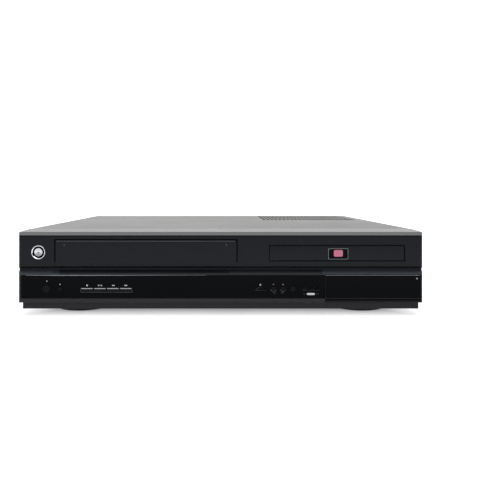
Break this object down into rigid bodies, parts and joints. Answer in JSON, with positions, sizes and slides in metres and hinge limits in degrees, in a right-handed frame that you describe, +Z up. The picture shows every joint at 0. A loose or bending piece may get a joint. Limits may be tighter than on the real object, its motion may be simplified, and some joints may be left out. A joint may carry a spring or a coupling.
{
  "type": "dvd vcr combo player",
  "caption": "Low black home player with a cassette door, a motorised disc tray, front keys, a flip-down socket door, a vented metal cover and round feet.",
  "frame": {"origin": "on the shelf, under the middle of the box", "axes": "+X to the right seen from the front, +Y to the back, +Z up"},
  "size_m": [0.43, 0.36, 0.0915],
  "materials": {
    "cover_paint": "fine textured charcoal enamel",
    "bezel_plastic": "satin charcoal moulding",
    "gloss_black": "polished acrylic",
    "ring_chrome": "bright plated",
    "button_metal": "spun",
    "key_silver": "silver painted",
    "key_black": "polished",
    "pan_steel": "galvanised",
    "plate_steel": "passivated",
    "rear_paint": "black enamel",
    "foot_plastic": "moulded",
    "pad_rubber": "soft",
    "screw_black": "blackened",
    "circuit_board": "solder mask",
    "display_glass": "smoked glass",
    "ferrite": "sintered",
    "sink_aluminium": "extruded",
    "capacitor_sleeve": "shrunk sleeve",
    "socket_plastic": "moulded",
    "socket_nickel": "nickel plated",
    "tray_plastic": "fine textured",
    "drive_plastic": "moulded",
    "gear_plastic": "acetal",
    "turntable_plastic": "rubber faced",
    "sled_plastic": "moulded",
    "drum_aluminium": "turned",
    "shaft_steel": "ground",
    "roller_rubber": "ground",
    "reel_plastic": "acetal"
  },
  "bodies": {
    "root": {"bottom_chassis": "pan_steel", "top_cover": "cover_paint", "rear_panel": "rear_paint", "front_fascia": "bezel_plastic", "gloss_panel": "gloss_black", "standby_ring": "ring_chrome", "display_module": "display_glass", "feet": "foot_plastic", "foot_pads": "pad_rubber", "case_screws": "screw_black", "front_board": "circuit_board", "main_board": "circuit_board", "power_board": "circuit_board", "power_transformer": "ferrite", "heat_sink": "sink_aluminium", "capacitors": "capacitor_sleeve", "mains_inlet": "socket_plastic", "phono_blocks": "socket_plastic", "phono_barrels": "socket_nickel", "aerial_terminals": "socket_nickel", "front_sockets": "socket_nickel", "drive_bracket": "plate_steel", "drive_chassis": "drive_plastic", "clamp_bridge": "plate_steel", "deck_plate": "plate_steel", "side_frames": "plate_steel", "drum_base": "drum_aluminium", "capstan_motor": "circuit_board"},
    "cassette_door": {"cassette_door": "bezel_plastic"},
    "socket_door": {"socket_door": "gloss_black"},
    "disc_tray": {"dvd_tray": "tray_plastic", "tray_front": "bezel_plastic"},
    "tray_gear": {"tray_gear": "gear_plastic"},
    "traverse": {"traverse_frame": "drive_plastic", "spindle_and_rods": "shaft_steel"},
    "turntable": {"disc_turntable": "turntable_plastic"},
    "sled": {"laser_sled": "sled_plastic"},
    "sled_screw": {"sled_screw": "shaft_steel"},
    "clamper": {"disc_clamper": "drive_plastic"},
    "slider": {"cassette_slider": "plate_steel"},
    "holder": {"cassette_holder": "plate_steel"},
    "drum": {"head_drum": "drum_aluminium"},
    "capstan": {"capstan": "shaft_steel"},
    "pinch_arm": {"pinch_arm": "plate_steel"},
    "pinch_roller": {"pinch_roller": "roller_rubber"},
    "supply_reel": {"supply_reel": "reel_plastic"},
    "takeup_reel": {"takeup_reel": "reel_plastic"},
    "standby_button": {"standby_button": "button_metal"},
    "mode_button": {"mode_button": "key_black"},
    "setup_button": {"setup_button": "key_black"},
    "stop_key": {"stop_key": "key_silver"},
    "play_key": {"play_key": "key_silver"},
    "rewind_key": {"rewind_key": "key_silver"},
    "forward_key": {"forward_key": "key_silver"},
    "eject_key": {"eject_key": "key_black"},
    "channel_down_key": {"channel_down_key": "key_black"},
    "channel_up_key": {"channel_up_key": "key_black"},
    "source_key": {"source_key": "key_black"},
    "tape_dub_key": {"tape_dub_key": "key_black"},
    "disc_dub_key": {"disc_dub_key": "key_black"}
  },
  "joints": [
    {"name": "cassette_door_hinge", "type": "hinge", "parent": "root", "child": "cassette_door", "pos_m": [-0.07922, -0.1736, 0.0833], "axis": [1, 0, 0], "range_deg": [0, 88], "stiffness_Nm_per_rad": 0.002, "springref_deg": -28.65},
    {"name": "socket_door_hinge", "type": "hinge", "parent": "root", "child": "socket_door", "pos_m": [0.16165, -0.1772, 0.0173], "axis": [1, 0, 0], "range_deg": [0, 95]},
    {"name": "tray_slide", "type": "slide", "parent": "root", "child": "disc_tray", "axis": [0, -1, 0], "range_m": [0, 0.132]},
    {"name": "tray_gear_turn", "type": "hinge", "parent": "root", "child": "tray_gear", "pos_m": [0.1711, -0.1328, 0.061], "axis": [0, 0, 1], "range_deg": [-841.34, 0]},
    {"name": "traverse_lift", "type": "hinge", "parent": "root", "child": "traverse", "pos_m": [0.1236, 0.0112, 0.057], "axis": [-1, 0, 0], "range_deg": [0, 4.06]},
    {"name": "turntable_spin", "type": "hinge", "parent": "traverse", "child": "turntable", "pos_m": [0.1236, -0.10921, 0.05847], "axis": [0, -0.0708, 0.9975], "continuous": true},
    {"name": "sled_slide", "type": "slide", "parent": "traverse", "child": "sled", "axis": [0, 0.9975, 0.0708], "range_m": [0, 0.031]},
    {"name": "sled_screw_turn", "type": "hinge", "parent": "traverse", "child": "sled_screw", "pos_m": [0.1446, -0.1002, 0.04458], "axis": [0, 0.9975, 0.0708], "range_deg": [0, 1396]},
    {"name": "clamper_spin", "type": "hinge", "parent": "root", "child": "clamper", "pos_m": [0.1236, -0.1088, 0.072], "axis": [0, 0, 1], "continuous": true},
    {"name": "slider_in", "type": "slide", "parent": "root", "child": "slider", "axis": [0, 1, 0], "range_m": [0, 0.06]},
    {"name": "holder_down", "type": "slide", "parent": "slider", "child": "holder", "axis": [0, 0, -1], "range_m": [0, 0.023]},
    {"name": "drum_spin", "type": "hinge", "parent": "root", "child": "drum", "pos_m": [-0.07922, 0.0352, 0.046], "axis": [0, -0.0958, 0.9954], "continuous": true},
    {"name": "capstan_spin", "type": "hinge", "parent": "root", "child": "capstan", "pos_m": [-0.02122, 0.0112, 0.024], "axis": [0, 0, 1], "continuous": true},
    {"name": "pinch_swing", "type": "hinge", "parent": "root", "child": "pinch_arm", "pos_m": [0.00278, 0.0252, 0.037], "axis": [0, 0, 1], "range_deg": [0, 20]},
    {"name": "pinch_roller_spin", "type": "hinge", "parent": "pinch_arm", "child": "pinch_roller", "pos_m": [-0.02172, 0.02805, 0.041], "axis": [0, 0, 1], "continuous": true},
    {"name": "supply_reel_spin", "type": "hinge", "parent": "root", "child": "supply_reel", "pos_m": [-0.12522, -0.0668, 0.026], "axis": [0, 0, 1], "continuous": true},
    {"name": "takeup_reel_spin", "type": "hinge", "parent": "root", "child": "takeup_reel", "pos_m": [-0.03322, -0.0668, 0.026], "axis": [0, 0, 1], "continuous": true},
    {"name": "standby_button_press", "type": "slide", "parent": "root", "child": "standby_button", "axis": [0, 1, 0], "range_m": [0, 0.0008], "stiffness_N_per_m": 400, "springref_m": -0.0006},
    {"name": "mode_button_press", "type": "slide", "parent": "root", "child": "mode_button", "axis": [0, 1, 0], "range_m": [0, 0.0008], "stiffness_N_per_m": 400, "springref_m": -0.0006},
    {"name": "setup_button_press", "type": "slide", "parent": "root", "child": "setup_button", "axis": [0, 1, 0], "range_m": [0, 0.0008], "stiffness_N_per_m": 400, "springref_m": -0.0006},
    {"name": "stop_key_press", "type": "slide", "parent": "root", "child": "stop_key", "axis": [0, 1, 0], "range_m": [0, 0.0008], "stiffness_N_per_m": 400, "springref_m": -0.0006},
    {"name": "play_key_press", "type": "slide", "parent": "root", "child": "play_key", "axis": [0, 1, 0], "range_m": [0, 0.0008], "stiffness_N_per_m": 400, "springref_m": -0.0006},
    {"name": "rewind_key_press", "type": "slide", "parent": "root", "child": "rewind_key", "axis": [0, 1, 0], "range_m": [0, 0.0008], "stiffness_N_per_m": 400, "springref_m": -0.0006},
    {"name": "forward_key_press", "type": "slide", "parent": "root", "child": "forward_key", "axis": [0, 1, 0], "range_m": [0, 0.0008], "stiffness_N_per_m": 400, "springref_m": -0.0006},
    {"name": "eject_key_press", "type": "slide", "parent": "root", "child": "eject_key", "axis": [0, 1, 0], "range_m": [0, 0.0008], "stiffness_N_per_m": 400, "springref_m": -0.0006},
    {"name": "channel_down_key_press", "type": "slide", "parent": "root", "child": "channel_down_key", "axis": [0, 1, 0], "range_m": [0, 0.0008], "stiffness_N_per_m": 400, "springref_m": -0.0006},
    {"name": "channel_up_key_press", "type": "slide", "parent": "root", "child": "channel_up_key", "axis": [0, 1, 0], "range_m": [0, 0.0008], "stiffness_N_per_m": 400, "springref_m": -0.0006},
    {"name": "source_key_press", "type": "slide", "parent": "root", "child": "source_key", "axis": [0, 1, 0], "range_m": [0, 0.0008], "stiffness_N_per_m": 400, "springref_m": -0.0006},
    {"name": "tape_dub_key_press", "type": "slide", "parent": "root", "child": "tape_dub_key", "axis": [0, 1, 0], "range_m": [0, 0.0008], "stiffness_N_per_m": 400, "springref_m": -0.0006},
    {"name": "disc_dub_key_press", "type": "slide", "parent": "root", "child": "disc_dub_key", "axis": [0, 1, 0], "range_m": [0, 0.0008], "stiffness_N_per_m": 400, "springref_m": -0.0006}
  ],
  "couplings": [
    {"joint": "tray_gear_turn", "follows": "tray_slide", "rad_per_m": -111.11},
    {"joint": "sled_screw_turn", "follows": "sled_slide", "rad_per_m": 785.4}
  ]
}
